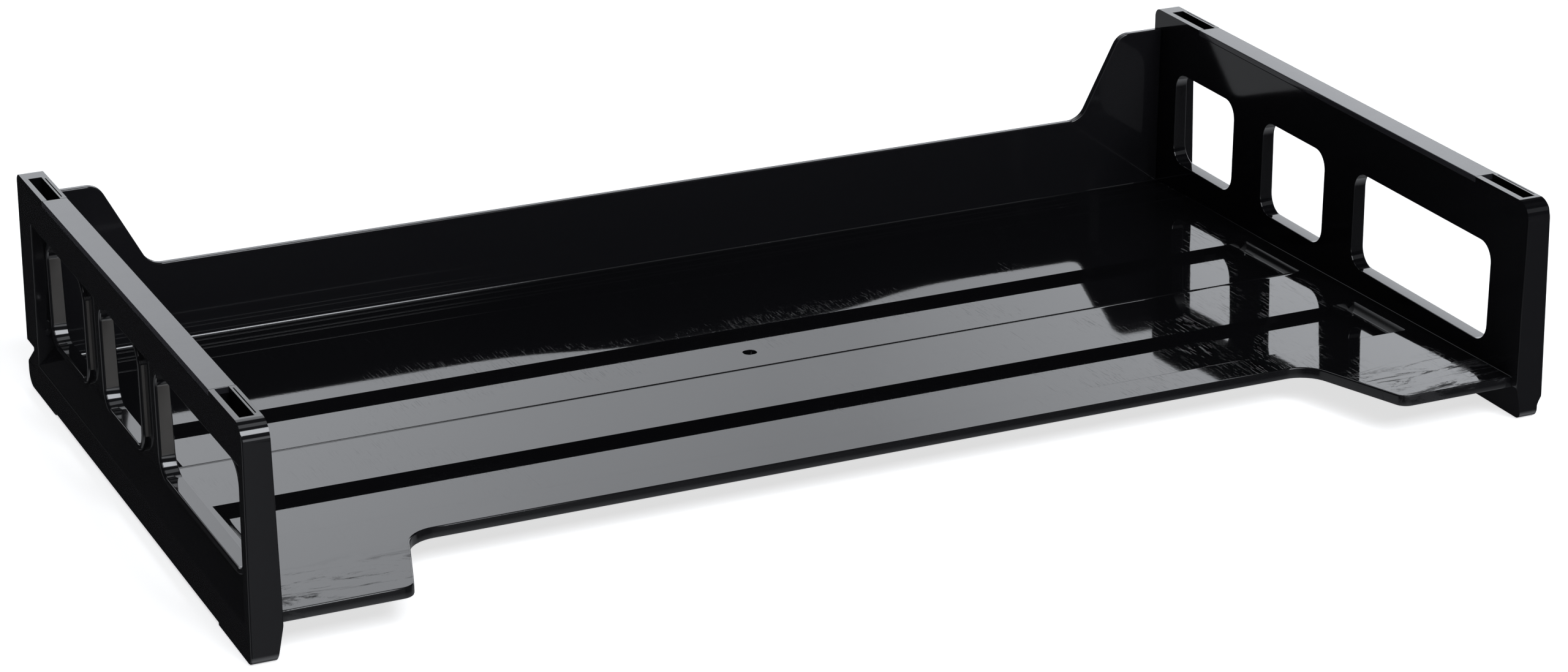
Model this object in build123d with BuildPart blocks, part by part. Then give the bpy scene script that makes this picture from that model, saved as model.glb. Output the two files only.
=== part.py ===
"""Side-loading desk tray, legal size: floor, back wall, two side walls and two cap strips."""

from build123d import *
import os

os.makedirs("parts", exist_ok=True)

# Overall size: X runs along the tray, Y from the open front to the back, Z up from the feet.
width = 410.0
depth = 228.6
height = 70.0

# Side walls
side_thick = 7.8
outer_draft = 1.0
inner_draft = 0.8
draft_bottom_z = 18.0
front_top_round = 5.5
rear_top_round = 3.0
front_foot_round = 3.0
rear_foot_round = 5.0
field_inset = 3.5
web_inset = 5.2
front_flange = 5.0
rear_flange = 13.8
top_beam = 13.0
bottom_beam = 10.5
lip_width = 2.2

# Windows, as (front edge, rear edge) measured back from the front of the tray
windows = [(18.3, 96.6), (115.0, 154.0), (173.2, 212.6)]
window_bottom_z = 19.2
window_top_z = 51.2
window_round = 6.0

# Stacking sockets and cap strips in the top of the side walls
socket_outer = 1.6
socket_inner = 5.8
socket_depth = 10.0
front_socket = (6.5, 29.2)
rear_socket = (198.5, 220.5)
cap_start = 29.2
cap_end = 198.5
cap_thick = 2.0
rib_width = 2.8
rib_depth = 4.0
rib_gap = 0.1
slit_inset = 0.6
slit_width = 0.4
slit_depth = 1.5

# Feet
foot_tip_outer = 0.7
foot_tip_inner = 6.4
foot_step_high = 6.9
foot_step_low = 4.1
foot_length = 30.0
foot_lift = 0.8
rear_foot_start = 198.5
front_taper_z = 11.2
rear_taper_z = 5.0
notch_top_z = 14.6
notch_low_z = 12.4
notch_end_z = 7.4
notch_inset = 2.4
notch_length = 8.0

# Floor, which falls slightly towards the back
floor_front_z = 13.8
floor_fall = 5.6
floor_thick = 2.6
tab_front = 3.0
tab_corner = 47.0
tab_root = 58.5
lip_line = 40.0
lip_height = 3.5
rim_width = 2.2
front_trough = (53.5, 83.4)
rear_trough = (117.6, 151.4)
trough_end = 14.5
trough_end_run = 4.5
trough_round = 2.0
trough_sink = 2.4
trough_wall = 2.4
gate_x = 1.0
gate_radius = 1.1
gate_depth = 0.5
groove = (211.9, 214.9)
groove_depth = 0.4

# Back wall
wall_front = 223.8
wall_thick = 2.4
wall_low_z = 34.8
wall_high_z = 63.5
wall_bottom_z = 4.6
slope_low = 39.2
slope_high = 24.2

x_side = width / 2
y_front = -depth / 2
x_base = x_side + outer_draft
x_inner_top = x_side - side_thick


def y_at(back):
    """Y of a point the given distance behind the front of the tray."""
    return y_front + back


def inner_x(z):
    """Distance from the middle of the tray to a side wall's drafted inner face."""
    if z <= draft_bottom_z:
        return x_inner_top - inner_draft
    return x_inner_top - inner_draft * (height - z) / (height - draft_bottom_z)


def floor_z(back):
    """Height of the floor's upper face."""
    return floor_front_z - floor_fall * back / depth


def floor_plane(back, sunk=0.0):
    """Plane on the floor's upper face at a distance behind the front, or sunk below it."""
    face = Plane(
        origin=(0, y_at(back), floor_z(back)),
        x_dir=(1, 0, 0),
        z_dir=(0, floor_fall, depth),
    )
    return face.offset(-sunk)


def side_wall(sign):
    """One side wall, with its coffered outside, windows, sockets and feet."""
    x_out = sign * x_base
    x_in = sign * inner_x(0)
    thick = x_base - inner_x(0)
    start = min(x_out, x_in)
    with BuildPart() as wall:
        with BuildSketch(Plane.YZ.offset(start)) as outline:
            Rectangle(depth, height, align=(Align.CENTER, Align.MIN))
            corners = outline.vertices().sort_by(Axis.Y)
            low = corners[0:2].sort_by(Axis.X)
            fillet(low[0], radius=front_foot_round)
            low = outline.vertices().group_by(Axis.Y)[0].sort_by(Axis.X)
            fillet(low[-1], radius=rear_foot_round)
            high = outline.vertices().group_by(Axis.Y)[-1].sort_by(Axis.X)
            fillet(high[0], radius=front_top_round)
            high = outline.vertices().group_by(Axis.Y)[-1].sort_by(Axis.X)
            fillet(high[-1], radius=rear_top_round)
        extrude(amount=thick)
        # Both faces lean, so that the wall is thinnest at the top.
        with BuildSketch(Plane.XZ):
            with BuildLine():
                Polyline(
                    (sign * x_base, 0),
                    (sign * x_base, height),
                    (sign * x_side, height),
                    close=True,
                )
            make_face()
            with BuildLine():
                Polyline(
                    (sign * x_inner_top, height),
                    (sign * inner_x(0), height),
                    (sign * inner_x(0), draft_bottom_z),
                    close=True,
                )
            make_face()
        extrude(amount=depth, both=True, mode=Mode.SUBTRACT)
        # Field of the outside, cut down to the window lips and then to the web.
        field_front = y_at(front_flange)
        field_rear = y_at(depth - rear_flange)
        field_low = window_bottom_z - lip_width
        field_high = height - top_beam
        for inset, keep_lips in ((field_inset, False), (web_inset, True)):
            cut_depth = inset + outer_draft
            cut_start = sign * x_base if sign < 0 else sign * x_base - cut_depth
            with BuildSketch(Plane.YZ.offset(cut_start)):
                with Locations(((field_front + field_rear) / 2, (field_low + field_high) / 2)):
                    Rectangle(field_rear - field_front, field_high - field_low)
                if keep_lips:
                    for near, far in windows:
                        with Locations((y_at((near + far) / 2), (window_bottom_z + window_top_z) / 2)):
                            RectangleRounded(
                                far - near + 2 * lip_width,
                                window_top_z - window_bottom_z + 2 * lip_width,
                                window_round + lip_width,
                                mode=Mode.SUBTRACT,
                            )
            extrude(amount=cut_depth, mode=Mode.SUBTRACT)
        # Below the windows the field slopes out to the bottom beam.
        with BuildSketch(Plane.XZ.offset(-field_front)):
            with BuildLine():
                Polyline(
                    (sign * x_base, bottom_beam),
                    (sign * x_base, field_low),
                    (sign * (x_side - web_inset), field_low),
                    close=True,
                )
            make_face()
        extrude(amount=-(field_rear - field_front), mode=Mode.SUBTRACT)
        with BuildSketch(Plane.YZ.offset(start)):
            for near, far in windows:
                with Locations((y_at((near + far) / 2), (window_bottom_z + window_top_z) / 2)):
                    RectangleRounded(far - near, window_top_z - window_bottom_z, window_round)
        extrude(amount=thick, mode=Mode.SUBTRACT)
        # Seat for the cap strip and the groove for its rib.
        cap_mid = y_at((cap_start + cap_end) / 2)
        with Locations((sign * (x_side - side_thick / 2), cap_mid, height)):
            Box(
                side_thick + 4,
                cap_end - cap_start,
                cap_thick * 2,
                mode=Mode.SUBTRACT,
            )
        with Locations((sign * (x_side - side_thick / 2), cap_mid, height - cap_thick)):
            Box(
                rib_width + 2 * rib_gap,
                cap_end - cap_start - 8,
                2 * (rib_depth + rib_gap),
                mode=Mode.SUBTRACT,
            )
        # Stacking sockets at both ends of the top beam.
        socket_mid = sign * (x_side - (socket_outer + socket_inner) / 2)
        for near, far in (front_socket, rear_socket):
            with Locations((socket_mid, y_at((near + far) / 2), height)):
                Box(
                    socket_inner - socket_outer,
                    far - near,
                    2 * socket_depth,
                    mode=Mode.SUBTRACT,
                )
            # A fine slit runs beside each socket, on the same hand in both walls.
            slit_x = socket_mid + (socket_inner - socket_outer + slit_width) / 2 + slit_inset
            with Locations((slit_x, y_at((near + far) / 2), height)):
                Box(
                    slit_width,
                    far - near - 3,
                    2 * slit_depth,
                    mode=Mode.SUBTRACT,
                )
        # Feet: the bottom edge between them is lifted, and their tips are narrower than the wall.
        lift_front = y_at(foot_length)
        lift_rear = y_at(rear_foot_start)
        with Locations((sign * (x_side - side_thick / 2), (lift_front + lift_rear) / 2, 0)):
            Box(
                side_thick + 6,
                lift_rear - lift_front,
                2 * foot_lift,
                mode=Mode.SUBTRACT,
            )
        for taper_z, near, far in (
            (front_taper_z, 0, foot_length),
            (rear_taper_z, rear_foot_start, depth),
        ):
            with BuildSketch(Plane.XZ.offset(-y_at(near))):
                with BuildLine():
                    Polyline(
                        (sign * inner_x(0), taper_z),
                        (sign * (inner_x(0) - 1), 0),
                        (sign * (x_side - foot_tip_inner), 0),
                        close=True,
                    )
                make_face()
            extrude(amount=-(far - near), mode=Mode.SUBTRACT)
        # The right front foot is stepped in on its outer side as well.
        if sign > 0:
            with BuildSketch(Plane.XZ.offset(-y_at(0))):
                with BuildLine():
                    Polyline(
                        (sign * x_base, foot_step_high),
                        (sign * (x_side - foot_tip_outer), foot_step_low),
                        (sign * (x_side - foot_tip_outer), 0),
                        (sign * x_base, 0),
                        close=True,
                    )
                make_face()
            extrude(amount=-foot_length, mode=Mode.SUBTRACT)
        # Notch low on the outer rear corner.
        with BuildSketch(Plane.XZ.offset(-y_at(depth - notch_length))):
            with BuildLine():
                Polyline(
                    (sign * x_base, notch_top_z),
                    (sign * (x_side - notch_inset), notch_top_z),
                    (sign * (x_side - notch_inset), notch_low_z),
                    (sign * x_base, notch_end_z),
                    close=True,
                )
            make_face()
        extrude(amount=-notch_length, mode=Mode.SUBTRACT)
    return wall.part


def cap_strip(sign):
    """The strip that closes the top of a side wall between its two sockets."""
    length = cap_end - cap_start
    mid = y_at((cap_start + cap_end) / 2)
    top_half = side_thick / 2
    slant = inner_draft * cap_thick / (height - draft_bottom_z)
    flare = outer_draft * cap_thick / height
    with BuildPart() as cap:
        with BuildSketch(Plane.XZ.offset(-y_at(cap_start))):
            with BuildLine():
                Polyline(
                    (sign * x_side, height),
                    (sign * (x_side - 2 * top_half), height),
                    (sign * (x_side - 2 * top_half - slant), height - cap_thick),
                    (sign * (x_side + flare), height - cap_thick),
                    close=True,
                )
            make_face()
        extrude(amount=-length)
        with Locations((sign * (x_side - top_half), mid, height - cap_thick)):
            Box(
                rib_width,
                length - 8 - 2 * rib_gap,
                rib_depth,
                align=(Align.CENTER, Align.CENTER, Align.MAX),
            )
    return cap.part


with BuildPart() as left_side_wall:
    add(side_wall(-1))

with BuildPart() as right_side_wall:
    add(side_wall(1))

with BuildPart() as left_cap_strip:
    add(cap_strip(-1))

with BuildPart() as right_cap_strip:
    add(cap_strip(1))


def tray_outline():
    """Plan of the floor: two corner tabs with a set-back edge between them."""
    x_edge = inner_x(0)
    x_corner = x_side - tab_corner
    x_root = x_side - tab_root
    with BuildSketch() as plan:
        with BuildLine():
            Polyline(
                (-x_edge, y_at(tab_front)),
                (-x_corner, y_at(tab_front)),
                (-x_root, y_at(lip_line)),
                (x_root, y_at(lip_line)),
                (x_corner, y_at(tab_front)),
                (x_edge, y_at(tab_front)),
                (x_edge, y_at(wall_front)),
                (-x_edge, y_at(wall_front)),
                close=True,
            )
        make_face()
        tips = [v for v in plan.vertices() if abs(abs(v.X) - x_corner) < 0.1]
        fillet(tips, radius=4.0)
        roots = [v for v in plan.vertices() if abs(abs(v.X) - x_root) < 0.1 and abs(v.Y - y_at(lip_line)) < 0.1]
        fillet(roots, radius=10.0)
    return plan.sketch


def sloped_slab(thick, front, rear):
    """A slab under the floor's upper face, between two distances from the front."""
    with BuildPart() as slab:
        with BuildSketch(Plane.YZ.offset(-x_side)):
            with BuildLine():
                Polyline(
                    (y_at(front), floor_z(front)),
                    (y_at(rear), floor_z(rear)),
                    (y_at(rear), floor_z(rear) - thick),
                    (y_at(front), floor_z(front) - thick),
                    close=True,
                )
            make_face()
        extrude(amount=2 * x_side)
    return slab.part


plan = tray_outline()
rim_plan = plan - offset(plan, amount=-rim_width)

with BuildPart() as front_rim:
    add(rim_plan)
    extrude(amount=height)
    add(sloped_slab(lip_height, 0, lip_line + 12), mode=Mode.INTERSECT)

with BuildPart() as floor_tray:
    add(plan)
    extrude(amount=height)
    add(sloped_slab(floor_thick, 0, depth), mode=Mode.INTERSECT)
    # The front edge is turned down all along the tabs and the set-back lip.
    add(front_rim.part)
    for near, far in (front_trough, rear_trough):
        middle = (near + far) / 2
        across = far - near
        length = width - 2 * trough_end
        with BuildSketch(floor_plane(middle, trough_sink + trough_wall)):
            RectangleRounded(
                length + 2 * trough_wall,
                across + 2 * trough_wall,
                trough_round + trough_wall,
            )
        extrude(amount=trough_sink + trough_wall - 0.5)
        # The pocket has upright long sides and sloping ends.
        with BuildSketch(floor_plane(middle, trough_sink)):
            RectangleRounded(length - 2 * trough_end_run, across, trough_round)
        with BuildSketch(floor_plane(middle)):
            RectangleRounded(length, across, trough_round)
        loft(mode=Mode.SUBTRACT)
    # Shallow groove across the back of the floor.
    with Locations((0, y_at((groove[0] + groove[1]) / 2), floor_z(groove[0]))):
        Box(
            width - 2 * trough_end,
            groove[1] - groove[0],
            2 * groove_depth,
            mode=Mode.SUBTRACT,
        )
    # Dimple left by the moulding gate, in the middle of the rear trough.
    gate_back = (rear_trough[0] + rear_trough[1]) / 2
    with Locations((gate_x, y_at(gate_back), floor_z(gate_back) - trough_sink)):
        Cylinder(gate_radius, 2 * gate_depth, mode=Mode.SUBTRACT)

with BuildPart() as back_wall:
    with BuildSketch(Plane.XZ.offset(-y_at(wall_front))) as wall_outline:
        with BuildLine():
            Polyline(
                (-inner_x(0), wall_bottom_z),
                (-inner_x(0), draft_bottom_z),
                (-inner_x(wall_high_z), wall_high_z),
                (-(x_side - slope_high), wall_high_z),
                (-(x_side - slope_low), wall_low_z),
                (x_side - slope_low, wall_low_z),
                (x_side - slope_high, wall_high_z),
                (inner_x(wall_high_z), wall_high_z),
                (inner_x(0), draft_bottom_z),
                (inner_x(0), wall_bottom_z),
                close=True,
            )
        make_face()
        bends = [v for v in wall_outline.vertices() if abs(abs(v.X) - (x_side - slope_high)) < 0.1]
        fillet(bends, radius=6.0)
        dips = [v for v in wall_outline.vertices() if abs(abs(v.X) - (x_side - slope_low)) < 0.1]
        fillet(dips, radius=7.0)
    extrude(amount=-wall_thick)

left_side_wall.part.label = "left_side_wall"
right_side_wall.part.label = "right_side_wall"
left_cap_strip.part.label = "left_cap_strip"
right_cap_strip.part.label = "right_cap_strip"
floor_tray.part.label = "floor_tray"
back_wall.part.label = "back_wall"

export_step(left_side_wall.part, "parts/left_side_wall.step")
export_step(right_side_wall.part, "parts/right_side_wall.step")
export_step(left_cap_strip.part, "parts/left_cap_strip.step")
export_step(right_cap_strip.part, "parts/right_cap_strip.step")
export_step(floor_tray.part, "parts/floor_tray.step")
export_step(back_wall.part, "parts/back_wall.step")
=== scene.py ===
import math

import bmesh
import bpy
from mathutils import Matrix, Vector


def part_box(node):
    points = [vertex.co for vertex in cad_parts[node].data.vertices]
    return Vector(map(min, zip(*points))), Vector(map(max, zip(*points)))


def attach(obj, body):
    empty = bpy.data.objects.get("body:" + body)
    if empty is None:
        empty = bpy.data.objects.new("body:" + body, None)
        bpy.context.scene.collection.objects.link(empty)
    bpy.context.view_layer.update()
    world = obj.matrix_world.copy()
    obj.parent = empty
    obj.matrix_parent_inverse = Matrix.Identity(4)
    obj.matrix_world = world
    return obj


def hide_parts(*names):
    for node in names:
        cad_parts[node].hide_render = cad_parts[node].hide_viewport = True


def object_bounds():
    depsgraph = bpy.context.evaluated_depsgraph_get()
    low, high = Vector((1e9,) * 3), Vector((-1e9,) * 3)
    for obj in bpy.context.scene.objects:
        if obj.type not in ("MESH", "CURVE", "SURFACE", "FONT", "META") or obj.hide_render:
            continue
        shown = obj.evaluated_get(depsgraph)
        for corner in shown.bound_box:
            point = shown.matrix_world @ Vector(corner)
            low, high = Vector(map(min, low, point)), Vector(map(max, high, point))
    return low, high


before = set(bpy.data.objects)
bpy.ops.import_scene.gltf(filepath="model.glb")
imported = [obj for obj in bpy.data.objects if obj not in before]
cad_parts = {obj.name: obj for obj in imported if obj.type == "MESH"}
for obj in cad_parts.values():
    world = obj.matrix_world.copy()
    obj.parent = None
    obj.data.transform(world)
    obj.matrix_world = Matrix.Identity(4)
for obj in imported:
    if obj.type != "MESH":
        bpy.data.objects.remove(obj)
cad_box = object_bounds()

scene = bpy.context.scene
MM = 0.001

# Driving dimensions in millimetres. "Back" is a distance behind the front of the tray.
tray_front = cad_box[0].y / MM
tray_depth = (cad_box[1].y - cad_box[0].y) / MM
tray_height = cad_box[1].z / MM
outer_draft = 1.0
side_out_top = (cad_box[1].x - cad_box[0].x) / MM / 2 - outer_draft

# Floor
floor_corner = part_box("floor_tray")[1] / MM
floor_half = floor_corner.x
floor_rear = floor_corner.y - tray_front
floor_fall = 5.6
floor_thick = 2.6
tab_front = 3.0
tab_corner_x = 158.0
tab_corner_round = 4.0
lip_root_x = 146.5
lip_root_round = 10.0
lip_back = 40.0
lip_drop = 3.5
lip_thick = 2.2
lip_round = 0.45
rim_inset = lip_thick + 1.2
side_cove = 0.3
rear_cove = 0.7

# Troughs, as pairs of front edge and rear edge, and the shell that hangs under each
troughs = [(53.5, 83.4), (117.6, 151.4)]
trough_half = 190.5
trough_sink = 2.4
trough_end_run = 3.2
trough_end_power = 0.7
trough_edge_run = 0.14
trough_near_round = 0.4
shell_wall = 2.4
shell_sink = 2.2
shell_run = 1.5

# Raised lines across the floor
flow_lines = [202.4, 211.9, 214.9, 220.0]
flow_line_half = 0.45
flow_line_height = 0.2
bead = 116.9
bead_half = 0.2
bead_height = 0.07

# Gate mark: a small steep pit with a nub in it, a little to the right
gate_x = 1.0
gate_back = 135.5
gate_round = 2.2
gate_wall_run = 0.15
gate_sink = 1.5
nub_shift = 0.4
nub_round = 0.9
nub_height = gate_sink * 1.1

# Warp of the plate behind the rear trough
bulge_height = 0.30
sag_depth = 0.66
sag_middle = 4
sag_half = 58

# Vertex grid of the floor
grid_start = 50.0
grid_spacing = 4.0
closest_lines = 0.03
row_gap = 0.07
column_gap = 0.08
gate_lines = 24
gate_reach = gate_round * 1.1

# Side walls: limits that tell their kinds of edges apart, by height, by distance from an end
# or by distance inside the top of the outer face
field_inset = 3.5
field_low = 9.0
field_high = 58.0
field_end = 4
inner_face_inset = 7.6
inner_low = 12
inner_high = 60
top_margin = 3
lip_slack = 0.08
outer_slack = 0.05

# Radii of the rounded edges
lip_edge_round = 0.85
outer_edge_round = 0.5
inner_edge_round = 0.3
wall_edge_round = 0.45
cap_edge_round = 0.25
roundable_angle = math.radians(25)
sharp_angle = math.radians(32)
same_vertex = 3e-6
flat_angle = math.radians(0.6)

polystyrene_ior = 1.59


# ---------------------------------------------------------------- node helpers
def new_material(name):
    material = bpy.data.materials.new(name)
    material.use_nodes = True
    tree = material.node_tree
    tree.nodes.clear()
    output = tree.nodes.new("ShaderNodeOutputMaterial")
    shader = tree.nodes.new("ShaderNodeBsdfPrincipled")
    tree.links.new(shader.outputs[0], output.inputs[0])
    return material, tree, shader


def noise(tree, vector, scale, detail, rough=0.5, distort=0.0):
    node = tree.nodes.new("ShaderNodeTexNoise")
    node.inputs["Scale"].default_value = scale
    node.inputs["Detail"].default_value = detail
    node.inputs["Roughness"].default_value = rough
    node.inputs["Distortion"].default_value = distort
    tree.links.new(vector, node.inputs["Vector"])
    return node.outputs["Fac"]


def remap(tree, value, low, high, to_low=0.0, to_high=1.0, smooth=False):
    node = tree.nodes.new("ShaderNodeMapRange")
    node.interpolation_type = "SMOOTHSTEP" if smooth else "LINEAR"
    node.clamp = True
    tree.links.new(value, node.inputs["Value"])
    node.inputs["From Min"].default_value = low
    node.inputs["From Max"].default_value = high
    node.inputs["To Min"].default_value = to_low
    node.inputs["To Max"].default_value = to_high
    return node.outputs["Result"]


def combine(tree, operation, first, second):
    node = tree.nodes.new("ShaderNodeMath")
    node.operation = operation
    for socket, value in zip(node.inputs, (first, second)):
        if isinstance(value, (int, float)):
            socket.default_value = value
        else:
            tree.links.new(value, socket)
    return node.outputs[0]


def total(tree, first, *others):
    for value in others:
        first = combine(tree, "ADD", first, value)
    return first


def product(tree, first, *others):
    for value in others:
        first = combine(tree, "MULTIPLY", first, value)
    return first


def separate(tree, vector):
    """The X, Y and Z of a vector."""
    node = tree.nodes.new("ShaderNodeSeparateXYZ")
    tree.links.new(vector, node.inputs[0])
    return node.outputs


def stretched(tree, vector, scale, turn, shift=(0, 0, 0)):
    """Coordinates turned about Z and stretched, for marks that run one way."""
    node = tree.nodes.new("ShaderNodeMapping")
    node.inputs["Location"].default_value = shift
    node.inputs["Rotation"].default_value = (0, 0, math.radians(turn))
    node.inputs["Scale"].default_value = scale
    tree.links.new(vector, node.inputs["Vector"])
    return node.outputs["Vector"]


def mix_colour(tree, factor, second):
    """A mix towards a fixed second colour, returned with its still open first input."""
    node = tree.nodes.new("ShaderNodeMix")
    node.data_type = "RGBA"
    node.inputs["B"].default_value = second
    tree.links.new(factor, node.inputs["Factor"])
    return node.inputs["A"], node.outputs["Result"]


def mix_value(tree, factor, first, second):
    node = tree.nodes.new("ShaderNodeMix")
    tree.links.new(factor, node.inputs["Factor"])
    tree.links.new(first, node.inputs["A"])
    tree.links.new(second, node.inputs["B"])
    return node.outputs["Result"]


def bump(tree, height, strength, distance, normal=None):
    node = tree.nodes.new("ShaderNodeBump")
    node.inputs["Strength"].default_value = strength
    node.inputs["Distance"].default_value = distance
    tree.links.new(height, node.inputs["Height"])
    if normal is not None:
        tree.links.new(normal, node.inputs["Normal"])
    return node.outputs["Normal"]


# ---------------------------------------------------------------- plastic
def hairlines(tree, coords, turns):
    """Thin separate scratches in a few directions: 0 off them and 1 on them."""
    marks = None
    for index, turn in enumerate(turns):
        across = 3800 + 600 * index
        along = 34 + 9 * index
        depth = 3800
        shift = (index * 3.1, index * 1.7, 0)
        streaks = stretched(tree, coords, (across, along, depth), turn, shift)
        value = remap(tree, noise(tree, streaks, scale=1.0, detail=1.0), low=0.70, high=0.74)
        marks = value if marks is None else combine(tree, "MAXIMUM", marks, value)
    clouds = noise(tree, coords, scale=19.0, detail=3.0, rough=0.6)
    patches = remap(tree, clouds, low=0.45, high=0.66, smooth=True)
    return product(tree, marks, patches)


def painted_jamb_sheen_mask(tree, coords, cloud):
    """Near 1 where the left wall's windows face the front, on jambs and lips alike, and 0 elsewhere. It
    marks the faces that get a painted sheen, standing in for light they reflect.
    """
    front_limit = [(tray_front + back) * MM for back in (50, 60)]
    rear_limit = [(tray_front + back) * MM for back in (213.4, 213.2)]
    left_limit = (-0.19, -0.196)
    facing_limit = (-0.985, -0.995)
    geometry = tree.nodes.new("ShaderNodeNewGeometry")
    facing = separate(tree, geometry.outputs["True Normal"])
    place = separate(tree, coords)
    return product(
        tree,
        remap(tree, facing["Y"], *facing_limit),
        remap(tree, place["Y"], *front_limit),
        remap(tree, place["Y"], *rear_limit),
        remap(tree, place["X"], *left_limit),
        remap(tree, cloud, low=0.3, high=0.7, to_low=0.7, to_high=1.0),
    )


def black_plastic(name, base, rough, worn, wave, turns, cut=0.1, tab_scuffs=False, jamb=None):
    """Glossy black moulded plastic, with waviness, hairline scratches, smears, specks and scuffs.

    Base is its tone and rough its roughness where it is clean. Worn is the strength of every mark,
    wave that of the slow waviness and cut that of the scratches' relief. Turns are the directions
    of the scratches in degrees. Jamb is the tone of a painted sheen on the left wall's front-facing
    window jambs and lips, standing in for light they reflect.
    """
    material, tree, shader = new_material(name)
    coords = tree.nodes.new("ShaderNodeTexCoord").outputs["Object"]
    cloud = noise(tree, coords, scale=28.0, detail=4.0, rough=0.6)
    wiped = stretched(tree, coords, scale=(26, 110, 60), turn=8)
    smear = noise(tree, wiped, scale=1.0, detail=5.0, rough=0.65, distort=0.4)
    smear = remap(tree, smear, low=0.5, high=0.8, smooth=True)
    specks = remap(tree, noise(tree, coords, scale=1500.0, detail=1.0), low=0.72, high=0.78)
    lines = hairlines(tree, coords, turns)
    rubbed = stretched(tree, coords, scale=(48, 170, 120), turn=-6)
    scuffs = noise(tree, rubbed, scale=1.0, detail=8.0, rough=0.72, distort=0.8)
    scuffs = remap(tree, scuffs, low=0.49, high=0.61)
    if tab_scuffs:
        # Scuffs gather on the front tabs and fade out before their rear end.
        fade_start = (tray_front + 16) * MM
        fade_end = (tray_front + 36) * MM
        amount = remap(tree, separate(tree, coords)["Y"], fade_start, fade_end, 0.8, 0.0, smooth=True)
    else:
        amount = 0.05
    scuffs = product(tree, scuffs, amount)
    marks = total(tree, product(tree, lines, 0.6), product(tree, specks, 0.15), scuffs)

    # Colour: almost black, greyer where it is scratched or scuffed, and paler on the left wall's
    # front-facing jambs and lips by a painted sheen.
    worn_colour = (0.022, 0.022, 0.024, 1)
    clean, colour = mix_colour(tree, product(tree, marks, 0.7 * worn), worn_colour)
    clean.default_value = (base, base, base * 1.15, 1)
    # Painted sheen: the left wall's front-facing jambs and lips are lightened towards a pale warm tone,
    # standing in for the light they reflect.
    if jamb is not None:
        painted_jamb_sheen_colour = (jamb, jamb * 0.96, jamb * 0.92, 1)
        plain, mixed = mix_colour(tree, painted_jamb_sheen_mask(tree, coords, cloud), painted_jamb_sheen_colour)
        tree.links.new(colour, plain)
        colour = mixed
    tree.links.new(colour, shader.inputs["Base Color"])

    # Gloss: uneven, duller on smears and marks.
    gloss = total(
        tree,
        remap(tree, cloud, low=0.3, high=0.7, to_low=rough * 0.8, to_high=rough * 1.25),
        product(tree, smear, 0.012 * worn),
        product(tree, scuffs, 0.8 * worn),
        product(tree, marks, 0.04 * worn),
    )
    tree.links.new(gloss, shader.inputs["Roughness"])
    shine = remap(tree, product(tree, marks, worn), low=0.0, high=1.0, to_low=0.5, to_high=0.12)
    tree.links.new(shine, shader.inputs["Specular IOR Level"])
    shader.inputs["IOR"].default_value = polystyrene_ior

    # Relief: slow waviness of the moulding, then scratches, then a very fine texture.
    waviness = noise(tree, coords, scale=11.0, detail=1.0, rough=0.4)
    relief = bump(tree, waviness, strength=wave, distance=0.002)
    uncut = combine(tree, "SUBTRACT", 1.0, lines)
    relief = bump(tree, uncut, strength=cut * worn, distance=0.0001, normal=relief)
    grain = noise(tree, coords, scale=900.0, detail=2.0)
    relief = bump(tree, grain, strength=0.1 * cut, distance=0.0002, normal=relief)
    tree.links.new(relief, shader.inputs["Normal"])
    return material


# ---------------------------------------------------------------- small geometry helpers
def smooth_step(t):
    t = min(max(t, 0.0), 1.0)
    return t * t * (3 - 2 * t)


def spread(middle, half, steps):
    """Evenly spaced values on both sides of a middle."""
    return [middle - half + 2 * half * step / steps for step in range(steps + 1)]


def merged(special, low, high):
    """The special values between two limits, with an even spacing wherever there is room for it."""
    kept = sorted(value for value in special if low < value < high)
    values = [low]
    for value in kept + [high]:
        gap = value - values[-1]
        if gap < closest_lines:
            continue
        parts = math.ceil(gap / grid_spacing)
        start = values[-1]
        values.extend(start + gap * part / parts for part in range(1, parts + 1))
    return values


def rounded_path(corners, radii):
    """Points along a line through the corners, with each inner corner rounded."""
    arc_steps = 8
    path = [corners[0]]
    for before, corner, after, radius in zip(corners, corners[1:], corners[2:], radii):
        back = (before - corner).normalized()
        ahead = (after - corner).normalized()
        half_turn = back.angle(ahead) / 2
        start = corner + back * radius / math.tan(half_turn)
        end = corner + ahead * radius / math.tan(half_turn)
        centre = corner + (back + ahead).normalized() * radius / math.sin(half_turn)
        for step in range(arc_steps + 1):
            point = start.lerp(end, step / arc_steps)
            path.append(centre + (point - centre).normalized() * radius)
    path.append(corners[-1])
    return path


def finish_piece(mesh, node, material):
    """Puts a finished mesh in the scene in place of its CAD node."""
    for polygon in mesh.polygons:
        polygon.use_smooth = True
    mesh.set_sharp_from_angle(angle=sharp_angle)
    mesh.materials.clear()
    mesh.materials.append(material)
    piece = bpy.data.objects.new(node + "_moulded", mesh)
    scene.collection.objects.link(piece)
    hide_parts(node)
    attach(piece, "root")
    return piece


# ---------------------------------------------------------------- floor
def floor_plane(back):
    """Height of the flat upper face that everything on the floor is measured from."""
    return floor_corner.z - floor_fall * (back - tab_front) / tray_depth


def trough_depth(x, back, grow, run_along, run_across):
    """How far a point lies in a trough: 0 outside it and 1 on its bottom."""
    deepest = 0.0
    for near, far in troughs:
        along = trough_half + grow - abs(x)
        across = (far - near) / 2 + grow - abs(back - (near + far) / 2)
        end = smooth_step(along / run_along) ** trough_end_power
        deepest = max(deepest, min(end, across / run_across, 1.0))
    return deepest


def cove(distance, radius):
    """Rise of a hollow fillet at a distance from the wall that it runs up."""
    top_cut = 0.03 * radius
    reach = max(0.0, radius - max(distance, top_cut))
    return radius - math.sqrt(radius * radius - reach * reach)


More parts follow.
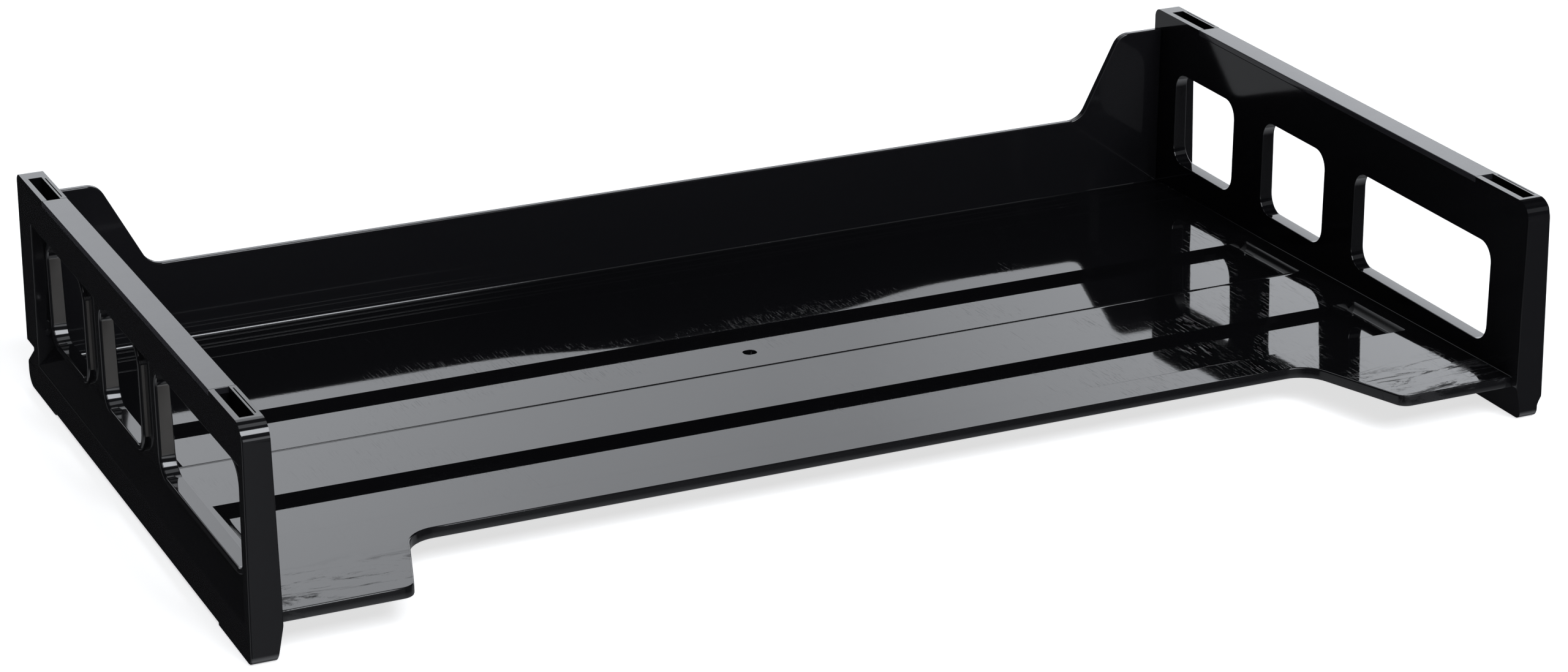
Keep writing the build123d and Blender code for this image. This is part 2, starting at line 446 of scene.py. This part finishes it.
def cove_lines(wall, radius, angles):
    """Where the grid needs a line to draw a hollow fillet that ends at a wall."""
    return [wall - radius * (1 - math.cos(math.radians(angle))) for angle in angles]


def ridge(distance, half, height):
    """Height of a raised line at a distance from its middle."""
    return height * (1 - smooth_step(distance / half))


def top_offset(x, back):
    """Everything that departs from the flat upper face: troughs, coves, lines, gate and warp."""
    offset = -trough_sink * trough_depth(x, back, 0, trough_end_run, trough_edge_run)
    for near, far in troughs:
        into_round = back - near + trough_near_round
        if abs(x) < trough_half and 0 < into_round <= trough_near_round:
            offset -= trough_near_round - math.sqrt(trough_near_round**2 - into_round**2)
    offset += max(cove(floor_half - abs(x), side_cove), cove(floor_rear - back, rear_cove))
    for line in flow_lines:
        offset += ridge(abs(back - line), flow_line_half, flow_line_height)
    offset += ridge(abs(back - bead), bead_half, bead_height)
    into_gate = gate_round - math.hypot(x - gate_x, back - gate_back)
    offset -= gate_sink * min(1.0, max(0.0, into_gate / gate_wall_run))
    offset += ridge(math.hypot(x - gate_x - nub_shift, back - gate_back), nub_round, nub_height)
    # The plate behind the rear trough bulges a little, and sags in the middle.
    rear_edge = troughs[1][1]
    behind = (back - rear_edge) / (floor_rear - rear_edge)
    if behind > 0:
        middle = math.exp(-(((x - sag_middle) / sag_half) ** 4))
        offset += math.sin(math.pi * behind) * (bulge_height - sag_depth * middle)
    return offset


def bottom_offset(x, back):
    """The same for the underside, which follows the troughs only."""
    return -floor_thick - shell_sink * trough_depth(x, back, shell_wall, shell_run, shell_run)


def floor_columns():
    """Front outline of the floor from left to right, as pairs of x and back."""
    corners = [
        Vector((0, lip_back)),
        Vector((lip_root_x, lip_back)),
        Vector((tab_corner_x, tab_front)),
        Vector((floor_half, tab_front)),
    ]
    outline = rounded_path(corners, (lip_root_round, tab_corner_round))
    special = spread(trough_half - trough_end_run / 2, trough_end_run / 2, 12)
    special += [trough_half + column_gap, trough_half - trough_end_run - column_gap]
    special += cove_lines(floor_half, side_cove, (25, 40, 55, 70, 90))
    special += spread(gate_x, gate_reach, gate_lines)
    half = []
    for start, end in zip(outline, outline[1:]):
        inner = [value for value in special if start.x < value < end.x]
        for value in merged(inner, start.x, end.x)[1:]:
            half.append(start.lerp(end, (value - start.x) / (end.x - start.x)))
    left = [Vector((-point.x, point.y)) for point in reversed(half)]
    return left + [Vector((0, lip_back))] + half


def floor_backs():
    """Distances behind the front at which the floor has rows of vertices."""
    special = []
    for near, far in troughs:
        for edge, inward in ((near, 1), (far, -1)):
            special += [edge - inward * row_gap, edge, edge + inward * trough_edge_run]
            special += [edge + inward * (trough_edge_run + gap) for gap in (row_gap, 0.5, 1.2, 2.0, 3.0)]
        special += [near - trough_near_round * part for part in (1.2, 1.0, 0.8, 0.6, 0.4, 0.25, 0.1)]
        for edge, inward in ((near - shell_wall, 1), (far + shell_wall, -1)):
            special += [edge, edge + inward * shell_run]
    for line in flow_lines:
        special += spread(line, flow_line_half + 0.1, 8)
    special += spread(bead, bead_half, 6)
    special += spread(gate_back, gate_reach, gate_lines)
    special += cove_lines(floor_rear, rear_cove, range(20, 91, 10))
    return merged(special, grid_start, floor_rear)


def rim_section():
    """Upper and lower parts of the turned-down front edge, as pairs of inset and height."""
    arc = [math.radians(15 * step) for step in range(7)]
    top = [(lip_round * (1 - math.cos(turn)), -lip_round * (1 - math.sin(turn))) for turn in arc]
    top += [(lip_round + 0.25, 0), (lip_thick, 0), (rim_inset, 0)]
    low = [
        (0, -lip_drop + 0.5),
        (0.12, -lip_drop + 0.15),
        (0.5, -lip_drop),
        (lip_thick - 0.4, -lip_drop),
        (lip_thick, -lip_drop + 0.3),
        (lip_thick + 0.15, -floor_thick - 0.1),
        (rim_inset, -floor_thick),
    ]
    return top, low


def floor_rows(columns):
    """Rows of points in millimetres, from the rear over the top, round the front and back below."""
    normals = []
    for index in range(len(columns)):
        before = columns[max(index - 1, 0)]
        after = columns[min(index + 1, len(columns) - 1)]
        along = (after - before).normalized()
        normals.append(Vector((-along.y, along.x)))

    def face_row(offset, places):
        return [(x, back, floor_plane(back) + offset(x, back)) for x, back in places]

    def straight(back):
        return [(point.x, back) for point in columns]

    def between(part):
        """Places part of the way from the rim to the first straight row."""
        places = []
        for point, normal in zip(columns, normals):
            inner = point + normal * rim_inset
            places.append(inner.lerp(Vector((point.x, grid_start)), part))
        return places

    def rim_row(inset, height):
        row = []
        for point, normal in zip(columns, normals):
            place = point + normal * inset
            rise = cove(floor_half - abs(point.x), side_cove) * max(0.0, 1 + height / lip_round)
            row.append((place.x, place.y, floor_plane(place.y) + height + rise))
        return row

    parts = [0.15, 0.35, 0.55, 0.75, 0.9]
    backs = floor_backs()
    rim_top, rim_low = rim_section()
    rows = [face_row(top_offset, straight(back)) for back in reversed(backs)]
    rows += [face_row(top_offset, between(part)) for part in reversed(parts)]
    rows += [rim_row(inset, height) for inset, height in reversed(rim_top)]
    rows += [rim_row(inset, height) for inset, height in rim_low]
    rows += [face_row(bottom_offset, between(part)) for part in parts]
    rows += [face_row(bottom_offset, straight(back)) for back in backs]
    return rows


def floor_mesh():
    columns = floor_columns()
    rows = floor_rows(columns)
    count = len(columns)
    vertices = []
    for row in rows:
        vertices.extend((x * MM, (back + tray_front) * MM, z * MM) for x, back, z in row)
    faces = []
    last = len(rows) - 1
    for r in range(last):
        for c in range(count - 1):
            start = r * count + c
            faces.append((start, start + count, start + count + 1, start + 1))
    # The rear edge and the two sides close the shape.
    for c in range(count - 1):
        faces.append((last * count + c, c, c + 1, last * count + c + 1))
    faces.append(tuple(r * count for r in reversed(range(len(rows)))))
    faces.append(tuple(r * count + count - 1 for r in range(len(rows))))
    mesh = bpy.data.meshes.new("floor_shape")
    mesh.from_pydata(vertices, [], faces)
    bm = bmesh.new()
    bm.from_mesh(mesh)
    bmesh.ops.recalc_face_normals(bm, faces=bm.faces)
    bm.to_mesh(mesh)
    bm.free()
    return mesh


# ---------------------------------------------------------------- walls and caps
def cad_shape(node):
    """The CAD node's shape as a bmesh, with its flat faces merged."""
    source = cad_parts[node].data
    bm = bmesh.new()
    verts = [bm.verts.new(vertex.co) for vertex in source.vertices]
    for polygon in source.polygons:
        bm.faces.new([verts[index] for index in polygon.vertices])
    bmesh.ops.remove_doubles(bm, verts=bm.verts, dist=same_vertex)
    bmesh.ops.dissolve_limit(
        bm,
        angle_limit=flat_angle,
        use_dissolve_boundaries=False,
        verts=bm.verts,
        edges=bm.edges,
    )
    bmesh.ops.recalc_face_normals(bm, faces=bm.faces)
    return bm


def round_edges(bm, choose, radius, segments):
    """Rounds the sharp edges whose middle the test picks."""
    picked = []
    for edge in bm.edges:
        if len(edge.link_faces) != 2 or edge.calc_face_angle(0) < roundable_angle:
            continue
        middle = (edge.verts[0].co + edge.verts[1].co) / 2 / MM
        if choose(middle):
            picked.append(edge)
    if picked:
        bmesh.ops.bevel(
            bm,
            geom=picked,
            offset=radius * MM,
            offset_type="OFFSET",
            segments=segments,
            profile=0.5,
            affect="EDGES",
            clamp_overlap=False,
            material=-1,
            miter_outer="ARC",
        )


def rounded_piece(node, material, roundings):
    """Puts in a CAD node's shape with rounded edges, and keeps its large faces flat."""
    bm = cad_shape(node)
    for choose, radius, segments in roundings:
        round_edges(bm, choose, radius, segments)
    mesh = bpy.data.meshes.new(node + "_shape")
    bm.to_mesh(mesh)
    bm.free()
    piece = finish_piece(mesh, node, material)
    modifier = piece.modifiers.new("flat_faces", "WEIGHTED_NORMAL")
    modifier.mode = "FACE_AREA"
    modifier.weight = 80
    modifier.keep_sharp = True


def any_edge(middle):
    return True


def inset(middle):
    """Distance of a point inside the top of a side wall's outer face."""
    return side_out_top - abs(middle.x)


def is_lip(middle):
    in_field = field_low < middle.z < field_high and abs(middle.y) < -tray_front - field_end
    return abs(inset(middle) - field_inset) < lip_slack and in_field


def is_outer(middle):
    on_face = -outer_draft - outer_slack < inset(middle) < outer_slack
    return on_face and middle.z < tray_height - top_margin


def is_inner(middle):
    return inset(middle) > inner_face_inset and inner_low < middle.z < inner_high


# The floor, back wall and side walls are the same black plastic. Their base tones differ because each
# was set to how dark that piece looks under this light, so that difference is painted light and shade.
plastic_floor = black_plastic(
    "floor_plastic", base=0.005, rough=0.035, worn=0.9, wave=0.10, turns=(12, -38, 80), tab_scuffs=True
)
plastic_wall = black_plastic(
    "wall_plastic", base=0.010, rough=0.06, worn=0.3, wave=0.10, turns=(5, 70), cut=0.05
)
# The side walls get a painted sheen on their front-facing window jambs and lips; the jamb value is its
# tone.
plastic_side = black_plastic(
    "side_plastic", base=0.006, rough=0.07, worn=0.25, wave=0.06, turns=(30, -60), cut=0.04, jamb=0.09
)
plastic_cap = black_plastic("cap_plastic", base=0.03, rough=0.08, worn=0.7, wave=0.1, turns=(88, 60))

side_roundings = [
    (is_lip, lip_edge_round, 4),
    (is_outer, outer_edge_round, 3),
    (is_inner, inner_edge_round, 2),
]
wall_roundings = [(any_edge, wall_edge_round, 3)]
cap_roundings = [(any_edge, cap_edge_round, 3)]

finish_piece(floor_mesh(), "floor_tray", plastic_floor)
rounded_piece("back_wall", plastic_wall, wall_roundings)
rounded_piece("left_side_wall", plastic_side, side_roundings)
rounded_piece("right_side_wall", plastic_side, side_roundings)
rounded_piece("left_cap_strip", plastic_cap, cap_roundings)
rounded_piece("right_cap_strip", plastic_cap, cap_roundings)


# ---------------------------------------------------------------- stage and light
def stage_floor():
    """A plain pale floor that glows a little and doesn't show in reflections."""
    half_size = 6.0
    material, tree, shader = new_material("pale_floor")
    coords = tree.nodes.new("ShaderNodeTexCoord").outputs["Object"]
    mottle = noise(tree, coords, scale=6.0, detail=3.0)
    tone = remap(tree, mottle, low=0.3, high=0.7, to_low=0.90, to_high=0.93)
    colour = tree.nodes.new("ShaderNodeCombineColor")
    for channel in range(3):
        tree.links.new(tone, colour.inputs[channel])
    tree.links.new(colour.outputs[0], shader.inputs["Base Color"])
    shader.inputs["Roughness"].default_value = 0.9
    shader.inputs["Specular IOR Level"].default_value = 0.1
    shader.inputs["Emission Color"].default_value = (1, 1, 1, 1)
    shader.inputs["Emission Strength"].default_value = 0.7
    mesh = bpy.data.meshes.new("studio_floor")
    signs = ((-1, -1), (1, -1), (1, 1), (-1, 1))
    mesh.from_pydata([(x * half_size, y * half_size, 0) for x, y in signs], [], [(0, 1, 2, 3)])
    mesh.materials.append(material)
    floor = bpy.data.objects.new("studio_floor", mesh)
    scene.collection.objects.link(floor)
    floor.visible_glossy = False


def band(tree, angle, low, high, level):
    """A strip of light between two elevations, in degrees."""
    blur = 1.5
    rise = remap(tree, angle, low - blur, low + blur, smooth=True)
    fall = remap(tree, angle, high - blur, high + blur, level, 0.0, smooth=True)
    return product(tree, rise, fall)


def studio_world():
    """A pale backdrop behind, strips of light overhead and in front, and dark to the left."""
    # Strips as lower elevation, upper elevation and strength
    light_strips = [(-2, 12, 1.5), (34, 60, 9.0), (78, 100, 0.9), (127, 149, 1.3)]
    strip_fill = 0.06
    backdrop_level = 1.15
    backdrop_left = 0.50
    backdrop_right = 0.72
    backdrop_start = (149, 153)
    light_colour = (0.945, 0.972, 1.02, 1)

    world = bpy.data.worlds.new("studio")
    scene.world = world
    world.use_nodes = True
    tree = world.node_tree
    tree.nodes.clear()
    output = tree.nodes.new("ShaderNodeOutputWorld")
    background = tree.nodes.new("ShaderNodeBackground")
    tree.links.new(background.outputs[0], output.inputs[0])
    x, y, z = separate(tree, tree.nodes.new("ShaderNodeTexCoord").outputs["Generated"])
    # Elevation, from 0 in front to 90 overhead and 180 behind.
    turn = combine(tree, "ARCTAN2", z, product(tree, y, -1.0))
    angle = product(tree, turn, 180 / math.pi)

    # Above the horizon. The backdrop is brighter at the left and right of what the floor mirrors.
    left = remap(tree, x, 0.38, 0.20, 0.0, backdrop_left)
    right = remap(tree, x, 0.40, 0.52, 0.0, backdrop_right)
    backdrop = product(
        tree,
        total(tree, left, right, backdrop_level),
        remap(tree, angle, *backdrop_start, smooth=True),
        remap(tree, x, -0.25, -0.05, 0.01, 1.0, smooth=True),
    )
    # The strips weaken to the left, and end sharply at the right.
    strips = product(
        tree,
        total(tree, *(band(tree, angle, *strip) for strip in light_strips), strip_fill),
        remap(tree, x, -0.5, -0.2, 0.05, 1.0, smooth=True),
        remap(tree, x, 0.272, 0.34, 1.0, 0.03, smooth=True),
        remap(tree, x, -0.15, 0.22, 0.35, 1.0, smooth=True),
    )
    upper = total(tree, backdrop, strips)

    # Below the horizon: dim in front, paler straight down, and pale far left and right behind.
    low_front = product(
        tree,
        remap(tree, x, 0.24, 0.48, 0.20, 0.05),
        remap(tree, x, -0.5, -0.1, 0.1, 1.0),
    )
    low_front = total(tree, low_front, remap(tree, z, -0.45, -0.85, 0.0, 0.8))
    far_left = product(
        tree,
        remap(tree, x, -0.44, -0.38, 0.30, 0.01),
        remap(tree, z, -0.25, -0.15, 1.0, 0.03),
    )
    low_back = total(tree, far_left, remap(tree, x, -0.05, 0.1, 0.0, 0.25))
    lower = mix_value(tree, remap(tree, y, -0.1, 0.1, smooth=True), low_front, low_back)
    strength = mix_value(tree, remap(tree, z, -0.02, 0.02, smooth=True), lower, upper)
    tree.links.new(strength, background.inputs["Strength"])
    background.inputs["Color"].default_value = light_colour


def camera():
    data = bpy.data.cameras.new("camera")
    data.sensor_width = 36.0
    data.lens = 95.75
    data.shift_x = -0.00203
    eye = bpy.data.objects.new("camera", data)
    eye.location = (-0.4918, -1.0958, 0.4875)
    eye.rotation_euler = (1.20041, 0.00783, -0.42823)
    scene.collection.objects.link(eye)
    scene.camera = eye


stage_floor()
studio_world()
camera()
scene.view_settings.view_transform = "Standard"
